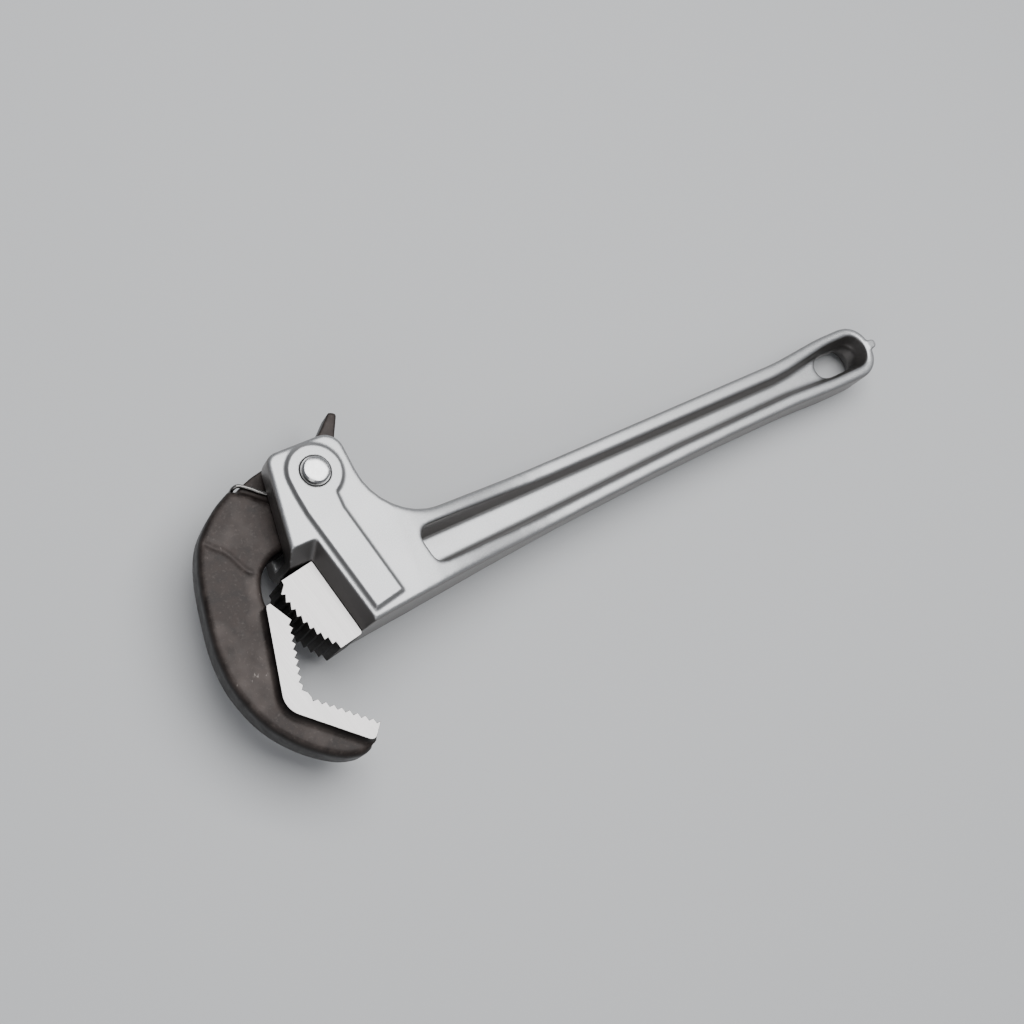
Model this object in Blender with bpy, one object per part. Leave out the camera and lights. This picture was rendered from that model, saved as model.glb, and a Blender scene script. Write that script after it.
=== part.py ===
"""Self-adjusting pipe wrench, nominal 457 mm (18 in), at its real size.

The origin lies on the axis that the hook jaw swings about, at the rear end of its pin, which is
the lowest point. +X runs along the handle, +Z across the thickness, and -Y towards the pipe mouth.
Every shape is drawn about the middle plane, and an empty lifts the whole wrench to its height.
"""

from math import acos, atan2, cos, degrees, hypot, pi, radians, sin

import bmesh
import bpy
from mathutils import Vector

MM = 0.001

# Clearances
GAP = 0.3 * MM
RUNNING_GAP = 0.4 * MM

# Pivot pin and its retaining rings
PIN_RADIUS = 7.2 * MM
PIN_CHAMFER = 0.9 * MM
PIN_STAND_PROUD = 2.8 * MM
RING_OVERHANG = 0.7 * MM
RING_THICKNESS = 1.2 * MM
RING_GROOVE_DEPTH = 0.9 * MM
RING_OPENING = 26

# Head of the handle casting
HEAD_HALF = 26 * MM
HEAD_TOP = 17.3 * MM
HEAD_RIGHT = 21.2 * MM
HEAD_LEFT_TOP = -19.3 * MM
HEAD_LEFT_LEAN = 0.205
HEAD_ROUNDING = 2.4 * MM
HEAD_CORNER_RIGHT = 10 * MM
HEAD_CORNER_LEFT = 7 * MM
SLOT_HALF = 11 * MM
SLOT_FLOOR = -33 * MM
SLOT_TAIL_SIDE = -12 * MM

# Keyhole boss on each cheek, over the spring's coil and leg
BOSS_RADIUS = 15.5 * MM
BOSS_HEIGHT = 2.3 * MM
BOSS_DRAFT = 1.5 * MM
BOSS_LEG_LEFT = -17.7 * MM
BOSS_LEG_WIDTH = 19.1 * MM
BOSS_LEG_END = 74.6 * MM
BOSS_LEG_LEAN = 9.8

# Handle
OVERALL_LENGTH = 457 * MM
JAW_REACH = 81.7 * MM
HANDLE_TOP = -39.2 * MM
HANDLE_ROOT_BOTTOM = -80.5 * MM
HANDLE_WIDTH = 29.2 * MM
HANDLE_HALF = 13 * MM
HANDLE_END_WIDTH = 33.5 * MM
RAIL_WIDTH = 8.4 * MM
LOWER_RAIL_WIDTH = 7.2 * MM
WEB_HALF = 4.6 * MM
CHANNEL_START = 35 * MM
CHANNEL_CORNER = 6.5 * MM
CHANNEL_END_CORNER = 10 * MM
CHANNEL_DRAFT = 3.0 * MM
THROAT_RADIUS = 33 * MM
TAPER_START = 24 * MM
TAPER_END = 125 * MM
NARROWING_END = 270 * MM
NARROWING_POWER = 1.8
FLARE_LENGTH = 75 * MM
FLARE_RADIUS = 90 * MM
END_BLEND_RADIUS = 50 * MM
END_CORNER = 15.5 * MM
END_RAIL_TOP = 5.5 * MM
END_RAIL_BOTTOM = 6.5 * MM
END_RAIL_TIP = 4.5 * MM
END_NIB_RADIUS = 2.9 * MM
END_NIB_RISE = 0.4 * MM
END_NIB_PROUD = 4 * MM

# Hang hole through the web
HANG_HOLE_WIDTH = 15 * MM
HANG_HOLE_LENGTH = 32.5 * MM
HANG_HOLE_INSET = 11.8 * MM

# Heel jaw: a toothed block in a sloping pocket of the head
JAW_HALF = 14 * MM
HEEL_LENGTH = 44.1 * MM
HEEL_WIDTH = 18.9 * MM
HEEL_LEAN = 9.0
HEEL_CORNER = (-18.2 * MM, -38.6 * MM)
HEEL_TEETH = 9
HEEL_TOOTH_DEPTH = 2.0 * MM
HEEL_FIRST_TIP = (5.8 * MM, 23.3 * MM)
HEEL_FOOT_WIDTH = 14.1 * MM
HEEL_BULGE = 3.4 * MM
POCKET_RAMP_TOP = 7.3 * MM
POCKET_RAMP_SIDE = 4.2 * MM
POCKET_RAMP_FOOT = 5.6 * MM
POCKET_RUN_OUT = 15 * MM
TONGUE_HALF = 5 * MM
TONGUE_DEPTH = 8 * MM
TONGUE_INSET = 6 * MM
ROLL_PIN_RADIUS = 2.6 * MM
ROLL_PIN_WALL = 0.8 * MM
ROLL_PIN_REACH = 9 * MM
ROLL_PIN_TAIL = 16 * MM
ROLL_PIN_SLIT = 30
ROLL_PIN_EDGE = 5.5 * MM

# Hook jaw
HOOK_HALF = 9.5 * MM
HOOK_ROUNDING = 3.6 * MM
TANG_HALF = 7.2 * MM
HUB_RADIUS = 15.2 * MM
UPPER_TEETH = 8
UPPER_TOOTH_DEPTH = 1.8 * MM
LOWER_TEETH = 8
LOWER_TOOTH_DEPTH = 1.7 * MM

# Double torsion spring and the sleeves inside its coils
WIRE_RADIUS = 1.0 * MM
COIL_TURNS = 2
COIL_PITCH = 2.3 * MM
SLEEVE_WALL = 1.5 * MM
CHANNEL_WALL = 0.8 * MM
LEG_ROOM = 2.2 * MM
SPRING_LEG_FOOT = (5 * MM, -68 * MM)
SPRING_ARM_BEND = (-22.4 * MM, 3.6 * MM)
SPRING_SHOULDER = (
    (-27.2 * MM, 7.9 * MM),
    (-31.4 * MM, 11.2 * MM),
    (-33.8 * MM, 12.2 * MM),
)
SPRING_BRIDGE = (-35.6 * MM, 12.0 * MM)

ARC_STEP = 11.25
TIGHT_RADIUS = 5 * MM
TIGHT_STEP = 30

MID_HEIGHT = HEAD_HALF + BOSS_HEIGHT + PIN_STAND_PROUD
RING_TOP = HEAD_HALF + BOSS_HEIGHT
RING_RADIUS = PIN_RADIUS + RING_OVERHANG
COIL_RADIUS = PIN_RADIUS + GAP + SLEEVE_WALL + GAP + WIRE_RADIUS
COIL_CAVITY_RADIUS = COIL_RADIUS + WIRE_RADIUS + CHANNEL_WALL
ARM_HEIGHT = TANG_HALF + GAP + WIRE_RADIUS
LEG_HEIGHT = ARM_HEIGHT + COIL_TURNS * COIL_PITCH
CAVITY_HALF = LEG_HEIGHT + WIRE_RADIUS + 0.8 * MM
HANDLE_END = OVERALL_LENGTH - JAW_REACH
END_WALL = HANDLE_END - END_NIB_PROUD
END_CENTRE_Y = HANDLE_TOP - HANDLE_END_WIDTH / 2 + 2 * MM


def clear_scene():
    for obj in list(bpy.data.objects):
        bpy.data.objects.remove(obj, do_unlink=True)


def turned(x, y, angle):
    a = radians(angle)
    return (x * cos(a) - y * sin(a), x * sin(a) + y * cos(a))


def arc(centre, radius, start, end, step=ARC_STEP):
    """Points on an arc, its ends included, from one angle to another in degrees."""
    count = max(1, round(abs(end - start) / step))
    points = []
    for i in range(count + 1):
        x, y = turned(radius, 0, start + (end - start) * i / count)
        points.append((centre[0] + x, centre[1] + y))
    return points


def filleted(corners):
    """A closed outline from corners (x, y, fillet radius), with each fillet as a tangent arc."""
    outline = []
    for i, (x, y, radius) in enumerate(corners):
        if radius == 0:
            outline.append((x, y))
            continue
        corner = Vector((x, y))
        before = (Vector(corners[i - 1][:2]) - corner).normalized()
        after = (Vector(corners[(i + 1) % len(corners)][:2]) - corner).normalized()
        half = before.angle(after) / 2
        centre = corner + (before + after).normalized() * radius / sin(half)
        run = radius / (sin(half) / cos(half))
        first = corner + before * run - centre
        last = corner + after * run - centre
        start = degrees(atan2(first.y, first.x))
        sweep = (degrees(atan2(last.y, last.x)) - start + 180) % 360 - 180
        step = TIGHT_STEP if radius < TIGHT_RADIUS else ARC_STEP
        outline += arc(centre, radius, start, start + sweep, step)
    return outline


def smooth_through(points, steps=4):
    """A Catmull-Rom curve through the points, its ends included."""
    padded = [points[0], *points, points[-1]]
    curve = []
    for i in range(1, len(padded) - 2):
        a, b, c, d = (Vector(p) for p in padded[i - 1 : i + 3])
        for s in range(steps):
            t = s / steps
            square = 2 * a - 5 * b + 4 * c - d
            cube = 3 * b - a - 3 * c + d
            curve.append(tuple(0.5 * (2 * b + (c - a) * t + square * t**2 + cube * t**3)))
    curve.append(tuple(points[-1]))
    return curve


def inset(outline, distance):
    """The outline of an anticlockwise shape moved inwards by a distance."""
    moved = []
    for i, point in enumerate(outline):
        before = (Vector(point) - Vector(outline[i - 1])).normalized()
        after = (Vector(outline[(i + 1) % len(outline)]) - Vector(point)).normalized()
        normal = Vector((-before.y - after.y, before.x + after.x)).normalized()
        stretch = max(0.5, normal.dot(Vector((-before.y, before.x))))
        moved.append(tuple(Vector(point) + normal * distance / stretch))
    return moved


def tooth_tips(start, end, count, bulge=0):
    """Evenly spaced tips from start to end, on a flat curve that rises to the right of its chord."""
    start = Vector(start)
    run = Vector(end) - start
    side = Vector((run.y, -run.x)).normalized() * bulge
    tips = []
    for i in range(count + 1):
        t = i / count
        tips.append(tuple(start + run * t + side * 4 * t * (1 - t)))
    return tips


def teeth(tips, depth, valley):
    """Saw teeth: each tip, then a valley part of the way to the next one."""
    points = []
    for tip, following in zip(tips, tips[1:]):
        run = Vector(following) - Vector(tip)
        inward = Vector((-run.y, run.x)).normalized() * depth
        points.append(tip)
        points.append(tuple(Vector(tip) + run * valley + inward))
    points.append(tips[-1])
    return points


def finish_mesh(bm, name, root, smooth_angle=35):
    bmesh.ops.recalc_face_normals(bm, faces=bm.faces)
    mesh = bpy.data.meshes.new(name)
    bm.to_mesh(mesh)
    bm.free()
    obj = bpy.data.objects.new(name, mesh)
    bpy.context.scene.collection.objects.link(obj)
    obj.parent = root
    mesh.shade_smooth()
    mesh.set_sharp_from_angle(angle=radians(smooth_angle))
    return obj


def loft(layers):
    """A closed bmesh through outlines with equal numbers of points, given as (z, outline)."""
    bm = bmesh.new()
    loops = [[bm.verts.new((x, y, z)) for x, y in outline] for z, outline in layers]
    count = len(loops[0])
    for low, high in zip(loops, loops[1:]):
        for i in range(count):
            j = (i + 1) % count
            bm.faces.new((low[i], low[j], high[j], high[i]))
    bm.faces.new(list(reversed(loops[0])))
    bm.faces.new(loops[-1])
    return bm


def prism(outline, low, high):
    return loft([(low, outline), (high, outline)])


def rounded_plate(outline, half, radius, segments=3):
    """A plate between -half and +half whose outline edges are rounded over."""
    layers = []
    for i in range(segments + 1):
        a = radians(90 * i / segments)
        layers.append((half - radius * (1 - sin(a)), inset(outline, radius * (1 - cos(a)))))
    below = [(-z, shape) for z, shape in reversed(layers)]
    return loft(below + layers)


def turned_body(name, profile, root, segments=32):
    """A body of revolution about Z from a closed (radius, z) profile."""
    bm = bmesh.new()
    rings = []
    for i in range(segments):
        a = 2 * pi * i / segments
        rings.append([bm.verts.new((r * cos(a), r * sin(a), z)) for r, z in profile])
    count = len(profile)
    for i in range(segments):
        this, following = rings[i], rings[(i + 1) % segments]
        for k in range(count):
            m = (k + 1) % count
            bm.faces.new((this[k], following[k], following[m], this[m]))
    return finish_mesh(bm, name, root)


def capped_turned_body(name, profile, root, segments=32):
    """A solid body of revolution about Z, its profile running up from the axis and back to it."""
    bm = bmesh.new()
    around = [turned(1, 0, 360 * i / segments) for i in range(segments)]
    loops = []
    for r, z in profile:
        loops.append([bm.verts.new((r * x, r * y, z)) for x, y in around])
    for low, high in zip(loops, loops[1:]):
        for i in range(segments):
            j = (i + 1) % segments
            bm.faces.new((low[i], low[j], high[j], high[i]))
    bm.faces.new(list(reversed(loops[0])))
    bm.faces.new(loops[-1])
    return finish_mesh(bm, name, root)


def combine(body, other, operation):
    """Cuts another object from the body, or joins it on, and keeps that object as a helper."""
    other.hide_render = True
    other.display_type = "WIRE"
    modifier = body.modifiers.new(other.name, "BOOLEAN")
    modifier.operation = operation
    modifier.solver = "EXACT"
    modifier.object = other


def cutter(bm, name, root):
    return finish_mesh(bm, name + "_cutter", root)


def material(name, colour, roughness, metallic):
    mat = bpy.data.materials.new(name)
    mat.use_nodes = True
    shader = mat.node_tree.nodes["Principled BSDF"]
    shader.inputs["Base Color"].default_value = (*colour, 1)
    shader.inputs["Roughness"].default_value = roughness
    shader.inputs["Metallic"].default_value = metallic
    return mat


def assign(obj, mat):
    obj.data.materials.clear()
    obj.data.materials.append(mat)


def half_thickness(x):
    """The casting's half thickness: the head's, easing down to the handle's."""
    t = min(1, max(0, (x - TAPER_START) / (TAPER_END - TAPER_START)))
    return HEAD_HALF + (HANDLE_HALF - HEAD_HALF) * t * t * (3 - 2 * t)


def taper(bm):
    """Thins a plate of the head's thickness along the handle, with enough edges to follow it."""
    stations = 9
    for i in range(stations + 1):
        x = TAPER_START + (TAPER_END - TAPER_START) * i / stations
        geometry = bm.verts[:] + bm.edges[:] + bm.faces[:]
        bmesh.ops.bisect_plane(bm, geom=geometry, dist=1e-6, plane_co=(x, 0, 0), plane_no=(1, 0, 0))
    for vert in bm.verts:
        vert.co.z *= half_thickness(vert.co.x) / HEAD_HALF
    bmesh.ops.triangulate(bm, faces=bm.faces)


def left_edge(y):
    """Where the head's left edge is at a height y."""
    return HEAD_LEFT_TOP + (y - HEAD_TOP) * HEAD_LEFT_LEAN


def heel_point(along, across):
    """A point in the heel jaw's own directions: down its back from the corner, and out from it."""
    x, y = turned(-across, -along, HEEL_LEAN)
    return (HEEL_CORNER[0] + x, HEEL_CORNER[1] + y)


def handle_bottom(x):
    """The lower edge of the handle, which narrows away from the head."""
    t = min(1, max(0, x / NARROWING_END))
    narrow = HANDLE_TOP - HANDLE_WIDTH - 1 * MM
    return HANDLE_ROOT_BOTTOM + (narrow - HANDLE_ROOT_BOTTOM) * (1 - (1 - t) ** NARROWING_POWER)


def casting_outline():
    ledge = HEEL_CORNER[1] + GAP
    end_top = END_CENTRE_Y + HANDLE_END_WIDTH / 2
    end_bottom = END_CENTRE_Y - HANDLE_END_WIDTH / 2
    flare = HANDLE_END - FLARE_LENGTH
    corners = [(*heel_point(HEEL_LENGTH - 1 * MM, -GAP), 0)]
    steps = 5
    for i in range(steps):
        x = HEAD_RIGHT + (flare - HEAD_RIGHT) * i / steps
        corners.append((x, handle_bottom(x), 0))
    corners += [
        (flare, handle_bottom(flare), FLARE_RADIUS),
        (END_WALL - 38 * MM, end_bottom, END_BLEND_RADIUS),
        (END_WALL, end_bottom, END_CORNER),
        (END_WALL, end_top, END_CORNER),
        (END_WALL - 34 * MM, end_top, END_BLEND_RADIUS),
        (flare, HANDLE_TOP - 1 * MM, FLARE_RADIUS),
        (HEAD_RIGHT, HANDLE_TOP, THROAT_RADIUS),
        (HEAD_RIGHT, HEAD_TOP, HEAD_CORNER_RIGHT),
        (HEAD_LEFT_TOP, HEAD_TOP, HEAD_CORNER_LEFT),
        (left_edge(ledge), ledge, 0),
        (*heel_point(-GAP, -GAP), 0),
    ]
    return filleted(corners)


def boss_outline():
    """A circle about the pin with the spring leg's strip running down from it."""
    right = BOSS_LEG_LEFT + BOSS_LEG_WIDTH
    outline = [
        turned(BOSS_LEG_LEFT, -BOSS_LEG_END, BOSS_LEG_LEAN),
        turned(right, -BOSS_LEG_END, BOSS_LEG_LEAN),
        turned(right + 0.6 * MM, -23 * MM, BOSS_LEG_LEAN),
    ]
    outline += arc((0, 0), BOSS_RADIUS, -66, 180)
    outline.append((-BOSS_RADIUS, -8 * MM))
    outline.append(turned(BOSS_LEG_LEFT, -16 * MM, BOSS_LEG_LEAN))
    return outline


def tangent_angle(point, side):
    """Where a straight wire through a point meets the coil: the angle of that place, in degrees."""
    distance = hypot(*point)
    return degrees(atan2(point[1], point[0])) + side * degrees(acos(COIL_RADIUS / distance))


def spring_channel_outline():
    """The cavity for the coil and the leg, inside the boss."""
    angle = tangent_angle(SPRING_LEG_FOOT, -1)
    start = Vector(turned(COIL_RADIUS, 0, angle))
    foot = Vector(SPRING_LEG_FOOT)
    along = (foot - start).normalized()
    end = foot + along * (WIRE_RADIUS + LEG_ROOM)
    across = Vector((-along.y, along.x)) * (WIRE_RADIUS + LEG_ROOM)
    outline = [tuple(end - across), tuple(end + across)]
    outline += arc((0, 0), COIL_CAVITY_RADIUS, -80, 190)
    return outline


def hook_slot_outline():
    """Where the hook's tang swings between the cheeks: open to the left, the top and the tail's side."""
    far = 70 * MM
    hub = HUB_RADIUS + 2 * MM
    outline = [(-far, SLOT_FLOOR), (-22 * MM, SLOT_FLOOR), (-14 * MM, -21 * MM)]
    outline += arc((0, 0), hub, 245, 310)
    outline += [(HUB_RADIUS, SLOT_TAIL_SIDE), (far, SLOT_TAIL_SIDE), (far, far), (-far, far)]
    return outline


def channel_outline():
    """The handle's channel at the top of its rails."""
    top = HANDLE_TOP - RAIL_WIDTH
    end_top = END_CENTRE_Y + HANDLE_END_WIDTH / 2 - END_RAIL_TOP
    end_bottom = END_CENTRE_Y - HANDLE_END_WIDTH / 2 + END_RAIL_BOTTOM
    flare = HANDLE_END - FLARE_LENGTH
    tip = END_WALL - END_RAIL_TIP
    start_bottom = handle_bottom(CHANNEL_START) + LOWER_RAIL_WIDTH
    corners = [(CHANNEL_START + 3 * MM, start_bottom + 3 * MM, CHANNEL_CORNER)]
    steps = 3
    for i in range(1, steps):
        x = CHANNEL_START + (flare - CHANNEL_START) * i / steps
        corners.append((x, handle_bottom(x) + LOWER_RAIL_WIDTH, 0))
    corners += [
        (flare, handle_bottom(flare) + LOWER_RAIL_WIDTH, FLARE_RADIUS),
        (END_WALL - 36 * MM, end_bottom, END_BLEND_RADIUS),
        (tip, end_bottom, CHANNEL_END_CORNER),
        (tip, end_top, CHANNEL_END_CORNER),
        (END_WALL - 30 * MM, end_top, END_BLEND_RADIUS),
        (flare, top - 0.8 * MM, FLARE_RADIUS),
        (CHANNEL_START, top + 0.6 * MM, CHANNEL_CORNER),
    ]
    return filleted(corners)


def hang_hole_outline():
    radius = HANG_HOLE_WIDTH / 2
    right = HANDLE_END - HANG_HOLE_INSET - radius
    left = right - HANG_HOLE_LENGTH + 2 * radius
    ends = arc((left, END_CENTRE_Y), radius, 90, 270, 22.5)
    return ends + arc((right, END_CENTRE_Y), radius, -90, 90, 22.5)


def end_nib_outline():
    """The small round nib on the end of the handle, from inside its wall."""
    root_x = END_WALL - END_RAIL_TIP / 2
    round_end = arc((HANDLE_END - END_NIB_RADIUS, END_CENTRE_Y), END_NIB_RADIUS, -90, 90, 22.5)
    low, high = END_CENTRE_Y - END_NIB_RADIUS, END_CENTRE_Y + END_NIB_RADIUS
    return [(root_x, low), *round_end, (root_x, high)]


def roll_pin_places():
    edge = TONGUE_INSET + ROLL_PIN_EDGE
    return [heel_point(along, -TONGUE_DEPTH / 2) for along in (edge, HEEL_LENGTH - edge)]


def tongue_outline(grow):
    first, last = TONGUE_INSET - grow, HEEL_LENGTH - TONGUE_INSET + grow
    return [
        heel_point(last, 2 * MM),
        heel_point(last, -TONGUE_DEPTH - grow),
        heel_point(first, -TONGUE_DEPTH - grow),
        heel_point(first, 2 * MM),
    ]


def pocket_outline(ramp_top, ramp_side, ramp_foot):
    """The heel jaw's pocket, wider by its ramps: above it, beside its corner and beside its foot."""
    far = 70 * MM
    corner_x, corner_y = heel_point(0, -GAP - ramp_side)
    foot_x, foot_y = heel_point(HEEL_LENGTH + POCKET_RUN_OUT, -GAP - ramp_foot)
    top = HEEL_CORNER[1] + GAP + ramp_top
    lean = (corner_x - foot_x) / (corner_y - foot_y)
    corner = (corner_x + (top - corner_y) * lean, top, 1.6 * MM)
    return filleted([(-far, foot_y - far, 0), (foot_x, foot_y, 0), corner, (-far, top, 0)])


def pocket_cutter(side, name, root):
    """Slopes one cheek down to the heel jaw's side, above it and behind it."""
    low, high, over = JAW_HALF - 0.2 * MM, HEAD_HALF, HEAD_HALF + BOSS_HEIGHT + 1 * MM
    top = pocket_outline(POCKET_RAMP_TOP, POCKET_RAMP_SIDE, POCKET_RAMP_FOOT)
    layers = [(side * low, pocket_outline(0, 0, 0)), (side * high, top), (side * over, top)]
    return cutter(loft(layers if side > 0 else layers[::-1]), "heel_pocket_" + name, root)


def pin_bore_cutter(root):
    """The pin's bore through both cheeks, wider at each end where a retaining ring is sunk in."""
    seat = RING_TOP - RING_THICKNESS - GAP
    bore, wide = PIN_RADIUS + GAP, RING_RADIUS + GAP
    upper = [(bore, seat), (wide, seat), (wide, MID_HEIGHT)]
    return capped_turned_body("pin_bore_cutter", [(r, -z) for r, z in reversed(upper)] + upper, root)


def make_handle_casting(root, mat):
    bm = rounded_plate(casting_outline(), HEAD_HALF, HEAD_ROUNDING)
    taper(bm)
    casting = finish_mesh(bm, "handle_casting", root)
    assign(casting, mat)

    nib_half = HANDLE_HALF + END_NIB_RISE
    nib = prism(end_nib_outline(), -nib_half, nib_half)
    combine(casting, cutter(nib, "end_nib", root), "UNION")
    cuts = []
    for side, name in ((1, "front"), (-1, "rear")):
        outline = boss_outline()
        rise = [
            (side * (HEAD_HALF - 1 * MM), outline),
            (side * HEAD_HALF, outline),
            (side * (HEAD_HALF + BOSS_HEIGHT), inset(outline, BOSS_DRAFT)),
        ]
        boss = cutter(loft(rise if side > 0 else rise[::-1]), "boss_" + name, root)
        combine(casting, boss, "UNION")
        cuts.append(pocket_cutter(side, name, root))

        outline = channel_outline()
        depth = [
            (side * WEB_HALF, inset(outline, CHANNEL_DRAFT)),
            (side * HANDLE_HALF, outline),
            (side * (HEAD_HALF + 1 * MM), outline),
        ]
        cuts.append(cutter(loft(depth if side > 0 else depth[::-1]), "channel_" + name, root))

    cuts.append(cutter(prism(hook_slot_outline(), -SLOT_HALF, SLOT_HALF), "hook_slot", root))
    cavity = prism(spring_channel_outline(), -CAVITY_HALF, CAVITY_HALF)
    cuts.append(cutter(cavity, "spring_channel", root))
    cuts.append(cutter(prism(hang_hole_outline(), -HEAD_HALF, HEAD_HALF), "hang_hole", root))
    tongue = prism(tongue_outline(GAP), -TONGUE_HALF - GAP, TONGUE_HALF + GAP)
    cuts.append(cutter(tongue, "tongue_slot", root))
    cuts.append(pin_bore_cutter(root))
    for i, place in enumerate(roll_pin_places()):
        hole = arc(place, ROLL_PIN_RADIUS + GAP, 0, 337.5, 22.5)
        drill = prism(hole, -MID_HEIGHT, ROLL_PIN_REACH + GAP)
        cuts.append(cutter(drill, f"roll_pin_hole_{i}", root))
    for cut in cuts:
        combine(casting, cut, "DIFFERENCE")
    return casting


def land_outline():
    """The raised toothed land of the hook, an angular V, anticlockwise."""
    tip = [(-50.2 * MM, -51.5 * MM), (-49.4 * MM, -49.9 * MM), (-47.2 * MM, -49.7 * MM)]
    upper = tooth_tips((-41.2 * MM, -61.4 * MM), (-50.8 * MM, -92.6 * MM), UPPER_TEETH)
    lower = tooth_tips((-47.3 * MM, -101.9 * MM), (-23.8 * MM, -125.0 * MM), LOWER_TEETH)
    corner = [
        (-52.4 * MM, -94.6 * MM),
        (-50.4 * MM, -96.7 * MM),
        (-49.7 * MM, -99.6 * MM),
        (-50.0 * MM, -101.7 * MM),
    ]
    toothed = teeth(upper, -UPPER_TOOTH_DEPTH, 0.6) + corner
    toothed += teeth(lower, -LOWER_TOOTH_DEPTH, 0.6)
    back = filleted(
        [
            (-23.8 * MM, -125.0 * MM, 0),
            (-30.9 * MM, -132.5 * MM, 3 * MM),
            (-64.4 * MM, -99.5 * MM, 12 * MM),
            (-50.2 * MM, -51.5 * MM, 0),
        ]
    )
    clockwise = tip + toothed + back[1:-1]
    return clockwise[::-1]


def hook_outline():
    """The hook's body from its shoulder round the back to the mouth, anticlockwise."""
    back = smooth_through(
        [
            (-38.4 * MM, 11.6 * MM),
            (-49.5 * MM, 5.8 * MM),
            (-62.5 * MM, -5.2 * MM),
            (-70.6 * MM, -20 * MM),
            (-76.6 * MM, -40 * MM),
            (-81.0 * MM, -62 * MM),
            (-80.6 * MM, -82 * MM),
            (-74.2 * MM, -103 * MM),
            (-62.8 * MM, -119.5 * MM),
            (-49.0 * MM, -131.4 * MM),
            (-38.0 * MM, -135.7 * MM),
            (-31.6 * MM, -134.6 * MM),
        ]
    )
    mouth = [
        (-28.6 * MM, -129.6 * MM),
        (-28.5 * MM, -123.5 * MM),
        (-52.5 * MM, -102.5 * MM),
        (-54.4 * MM, -95 * MM),
        (-45.2 * MM, -62 * MM),
    ]
    throat = smooth_through(
        [
            (-47.6 * MM, -52 * MM),
            (-46.4 * MM, -43 * MM),
            (-41.8 * MM, -33.6 * MM),
            (-33.5 * MM, -28.2 * MM),
            (-25 * MM, -27 * MM),
        ],
        3,
    )
    root = [(-17.5 * MM, -20 * MM), (-16.2 * MM, -13.5 * MM), (-17.5 * MM, -4.6 * MM)]
    root += [(-24 * MM, 1 * MM), (-29.5 * MM, 6.2 * MM), (-34.5 * MM, 9.9 * MM)]
    return back + mouth + throat + root


def tang_outline():
    """The thin tang: it grips the pin, and ends in the thumb prong above the head."""
    prong = filleted(
        [
            (15.4 * MM, 2 * MM, 0),
            (24 * MM, 13.5 * MM, 30 * MM),
            (34 * MM, 29.2 * MM, 1.4 * MM),
            (30 * MM, 31.4 * MM, 1.4 * MM),
            (18 * MM, 21 * MM, 30 * MM),
            (4 * MM, 15.2 * MM, 0),
        ]
    )
    outline = [(-34 * MM, -12 * MM), (-30 * MM, -22 * MM), (-24 * MM, -22 * MM)]
    outline += arc((0, 0), HUB_RADIUS, 232, 352)
    outline += prong
    outline += [(-11 * MM, 16.3 * MM), (-17 * MM, 15.7 * MM), (-24 * MM, 14.2 * MM)]
    outline += [(-30 * MM, 12.2 * MM), (-36 * MM, 9.6 * MM)]
    return outline


def make_hook_jaw(root, mat):
    bm = rounded_plate(hook_outline(), HOOK_HALF, HOOK_ROUNDING)
    hook = finish_mesh(bm, "hook_jaw", root)
    assign(hook, mat)
    bm = rounded_plate(tang_outline(), TANG_HALF, 0.8 * MM, 1)
    combine(hook, cutter(bm, "tang", root), "UNION")
    land = land_outline()
    combine(hook, cutter(prism(land, -JAW_HALF, JAW_HALF), "land", root), "UNION")
    bore = arc((0, 0), PIN_RADIUS + RUNNING_GAP, 0, 348.75)
    combine(hook, cutter(prism(bore, -HEAD_HALF, HEAD_HALF), "hook_bore", root), "DIFFERENCE")
    return hook


def heel_outline():
    """The heel jaw: its back against the head, its teeth towards the hook, anticlockwise."""
    top = heel_point(0, HEEL_WIDTH)
    notch = heel_point(2.4 * MM, HEEL_WIDTH + 0.3 * MM)
    foot = heel_point(HEEL_LENGTH, HEEL_FOOT_WIDTH)
    tips = tooth_tips(heel_point(*HEEL_FIRST_TIP), foot, HEEL_TEETH, HEEL_BULGE)
    toothed = teeth(tips, HEEL_TOOTH_DEPTH, 0.22)
    back = filleted(
        [
            (*foot, 0),
            (*heel_point(HEEL_LENGTH, 0), 1.6 * MM),
            (*heel_point(0, 0), 0.8 * MM),
            (*top, 0),
        ]
    )
    return [top, notch] + toothed + back[1:-1]


def make_heel_jaw(root, mat):
    heel = finish_mesh(prism(heel_outline(), -JAW_HALF, JAW_HALF), "heel_jaw", root)
    assign(heel, mat)
    tongue = prism(tongue_outline(0), -TONGUE_HALF, TONGUE_HALF)
    combine(heel, cutter(tongue, "tongue", root), "UNION")
    for i, place in enumerate(roll_pin_places()):
        hole = arc(place, ROLL_PIN_RADIUS + GAP, 0, 337.5, 22.5)
        drill = prism(hole, -JAW_HALF, JAW_HALF)
        combine(heel, cutter(drill, f"tongue_hole_{i}", root), "DIFFERENCE")
    return heel


def make_roll_pins(root, mat):
    half_slit = ROLL_PIN_SLIT / 2
    for (x, y), name in zip(roll_pin_places(), ("upper", "lower")):
        outer = arc((x, y), ROLL_PIN_RADIUS, 90 + half_slit, 450 - half_slit, 18)
        inner = arc((x, y), ROLL_PIN_RADIUS - ROLL_PIN_WALL, 450 - half_slit, 90 + half_slit, 18)
        tube = prism(outer + inner, -ROLL_PIN_TAIL, ROLL_PIN_REACH)
        assign(finish_mesh(tube, f"heel_jaw_pin_{name}", root), mat)


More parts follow.
